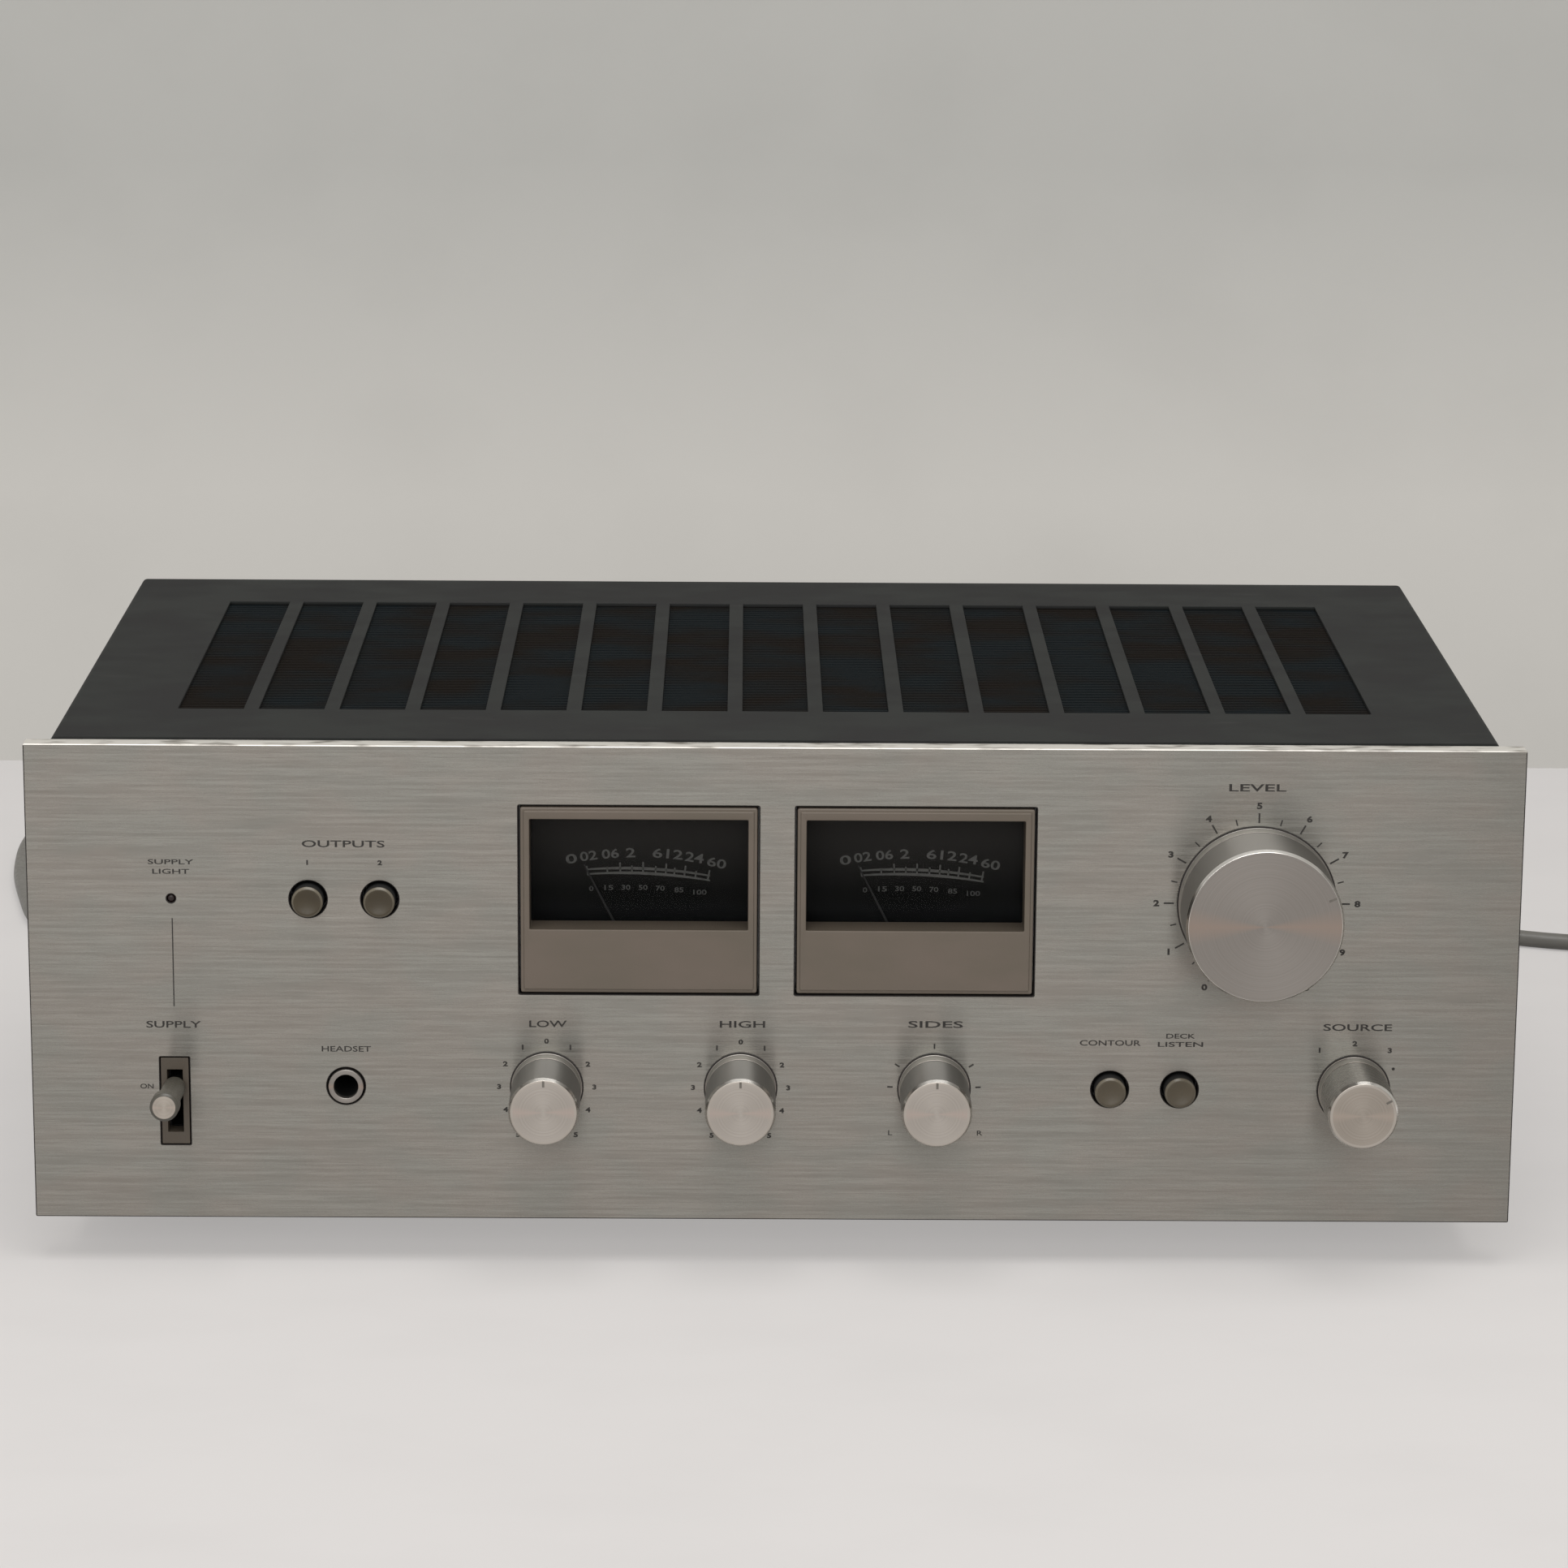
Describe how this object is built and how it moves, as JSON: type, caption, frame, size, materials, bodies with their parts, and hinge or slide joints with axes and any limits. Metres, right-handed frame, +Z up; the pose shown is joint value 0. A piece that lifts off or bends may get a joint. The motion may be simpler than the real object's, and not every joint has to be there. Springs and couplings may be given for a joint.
{
  "type": "integrated amplifier",
  "caption": "Stereo integrated amplifier with a brushed front panel, turning knobs, push buttons, a power lever, swinging meter needles and a vented steel cover.",
  "frame": {"origin": "middle of the amplifier's base, on the surface that the feet stand on, the free cord left out", "axes": "+X to the listener's right along the front panel, -Y out of the front panel, +Z up"},
  "size_m": [0.6158, 0.5434, 0.1377],
  "materials": {
    "brushed_panel": "horizontally brushed, clear anodised",
    "spun_knob": "turned and knurled, bright spun face",
    "painted_steel": "fine textured charcoal paint",
    "plated_steel": "zinc plated, dull",
    "taupe_plastic": "painted moulding, satin",
    "button_plastic": "painted cap, satin",
    "black_plastic": "moulded, fine texture",
    "clear_window": "clear acrylic, polished",
    "needle_paint": "matt paint",
    "black_rubber": "moulded, dull",
    "laminated_iron": "varnished laminations",
    "winding_tape": "amber polyester tape",
    "board_resin": "bare phenolic board",
    "capacitor_sleeve": "shrunk sleeve",
    "sink_aluminium": "black anodised extrusion",
    "cord_plastic": "smooth flexible sheath",
    "nickel": "nickel plated, bright",
    "red_lamp": "tinted lens, unlit"
  },
  "bodies": {
    "case": {"amplifier_board": "board_resin", "balance_control": "nickel", "bass_control": "nickel", "chassis_pan": "plated_steel", "cord_coil": "cord_plastic", "cord_strain_relief": "black_rubber", "filter_capacitor_left": "capacitor_sleeve", "filter_capacitor_right": "capacitor_sleeve", "foot_front_left": "black_rubber", "foot_front_right": "black_rubber", "foot_rear_left": "black_rubber", "foot_rear_right": "black_rubber", "front_panel": "brushed_panel", "front_subpanel": "plated_steel", "function_switch": "nickel", "heat_sink": "sink_aluminium", "input_jack_board": "black_plastic", "meter_bezel_left": "taupe_plastic", "meter_bezel_right": "taupe_plastic", "meter_movement_left": "black_plastic", "meter_movement_right": "black_plastic", "meter_window_left": "clear_window", "meter_window_right": "clear_window", "monitor_switch_bank": "plated_steel", "phones_jack": "black_plastic", "power_cord": "cord_plastic", "power_indicator": "red_lamp", "power_module_left": "black_plastic", "power_module_right": "black_plastic", "power_plug": "cord_plastic", "power_slot_bezel": "taupe_plastic", "power_switch": "black_plastic", "rear_panel": "plated_steel", "speaker_switch_bank": "plated_steel", "speaker_terminal_block": "black_plastic", "tone_board": "board_resin", "top_cover": "painted_steel", "transformer_core": "laminated_iron", "transformer_winding": "winding_tape", "treble_control": "nickel", "volume_control": "nickel"},
    "volume_control_knob": {"volume_knob": "spun_knob", "volume_shaft": "nickel"},
    "bass_control_knob": {"bass_knob": "spun_knob", "bass_shaft": "nickel"},
    "treble_control_knob": {"treble_knob": "spun_knob", "treble_shaft": "nickel"},
    "balance_control_knob": {"balance_knob": "spun_knob", "balance_shaft": "nickel"},
    "function_selector": {"function_knob": "spun_knob", "function_shaft": "nickel"},
    "power_lever": {"power_lever": "spun_knob"},
    "speaker_a_button": {"speaker_a_button": "button_plastic"},
    "speaker_b_button": {"speaker_b_button": "button_plastic"},
    "loudness_button": {"loudness_button": "button_plastic"},
    "tape_monitor_button": {"tape_monitor_button": "button_plastic"},
    "needle_left": {"meter_needle_left": "needle_paint"},
    "needle_right": {"meter_needle_right": "needle_paint"},
    "ground_nut": {"ground_terminal": "nickel"}
  },
  "joints": [
    {"name": "volume_turn", "type": "hinge", "parent": "case", "child": "volume_control_knob", "pos_m": [0.1226, -0.09681, 0.097], "axis": [0, 1, 0], "range_deg": [-217, 83]},
    {"name": "bass_turn", "type": "hinge", "parent": "case", "child": "bass_control_knob", "pos_m": [-0.0582, -0.09681, 0.0475], "axis": [0, 1, 0], "range_deg": [-150, 150]},
    {"name": "treble_turn", "type": "hinge", "parent": "case", "child": "treble_control_knob", "pos_m": [-0.0085, -0.09681, 0.0475], "axis": [0, 1, 0], "range_deg": [-150, 150]},
    {"name": "balance_turn", "type": "hinge", "parent": "case", "child": "balance_control_knob", "pos_m": [0.0411, -0.09681, 0.0475], "axis": [0, 1, 0], "range_deg": [-150, 150]},
    {"name": "function_turn", "type": "hinge", "parent": "case", "child": "function_selector", "pos_m": [0.1488, -0.09681, 0.0475], "axis": [0, 1, 0], "range_deg": [-120, 0]},
    {"name": "power_lever_tip", "type": "hinge", "parent": "case", "child": "power_lever", "pos_m": [-0.1534, -0.05181, 0.0433], "axis": [1, 0, 0], "range_deg": [0, 9.8]},
    {"name": "speaker_a_press", "type": "slide", "parent": "case", "child": "speaker_a_button", "axis": [0, 1, 0], "range_m": [0, 0.003], "stiffness_N_per_m": 300, "springref_m": -0.001},
    {"name": "speaker_b_press", "type": "slide", "parent": "case", "child": "speaker_b_button", "axis": [0, 1, 0], "range_m": [0, 0.003], "stiffness_N_per_m": 300, "springref_m": -0.001},
    {"name": "loudness_press", "type": "slide", "parent": "case", "child": "loudness_button", "axis": [0, 1, 0], "range_m": [0, 0.003], "stiffness_N_per_m": 300, "springref_m": -0.001},
    {"name": "tape_monitor_press", "type": "slide", "parent": "case", "child": "tape_monitor_button", "axis": [0, 1, 0], "range_m": [0, 0.003], "stiffness_N_per_m": 300, "springref_m": -0.001},
    {"name": "needle_left_swing", "type": "hinge", "parent": "case", "child": "needle_left", "pos_m": [-0.0346, -0.08392, 0.07495], "axis": [0, 1, 0], "range_deg": [0, 62], "stiffness_Nm_per_rad": 0.0002, "springref_deg": -5.73},
    {"name": "needle_right_swing", "type": "hinge", "parent": "case", "child": "needle_right", "pos_m": [0.0357, -0.08392, 0.07495], "axis": [0, 1, 0], "range_deg": [0, 62], "stiffness_Nm_per_rad": 0.0002, "springref_deg": -5.73},
    {"name": "ground_nut_turn", "type": "hinge", "parent": "case", "child": "ground_nut", "pos_m": [0.17, 0.11539, 0.086], "axis": [0, 1, 0], "continuous": true}
  ]
}
